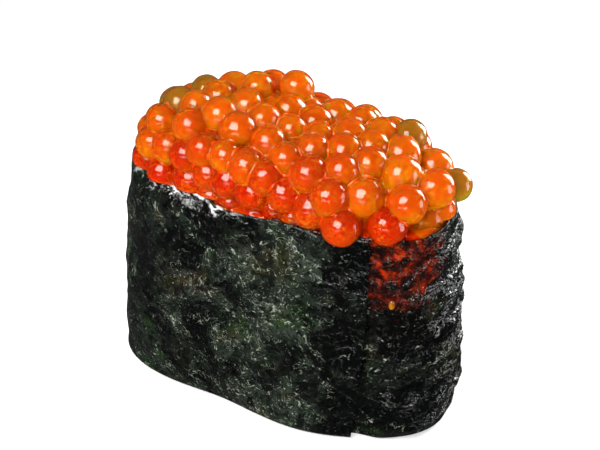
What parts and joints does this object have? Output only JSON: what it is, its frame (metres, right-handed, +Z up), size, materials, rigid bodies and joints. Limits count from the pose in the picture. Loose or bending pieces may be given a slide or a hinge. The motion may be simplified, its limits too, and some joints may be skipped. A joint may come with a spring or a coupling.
{
  "type": "gunkan sushi",
  "caption": "Battleship-style sushi: a lapped band of nori round a block of rice, heaped with glossy orange salmon roe.",
  "frame": {"origin": "middle of the flat underside, on the surface that the piece stands on", "axes": "+X along the length, -Y towards the long side where the nori's outer end is lapped down, +Z up"},
  "size_m": [0.054, 0.0263, 0.0484],
  "materials": {
    "nori": "damp crinkled seaweed sheet, dark green-black with a wet sheen",
    "rice": "moist sticky grains",
    "roe": "wet translucent eggs, saturated orange"
  },
  "bodies": {
    "root": {"nori_wrap": "nori", "rice_block": "rice", "roe_heap": "roe"}
  },
  "joints": []
}
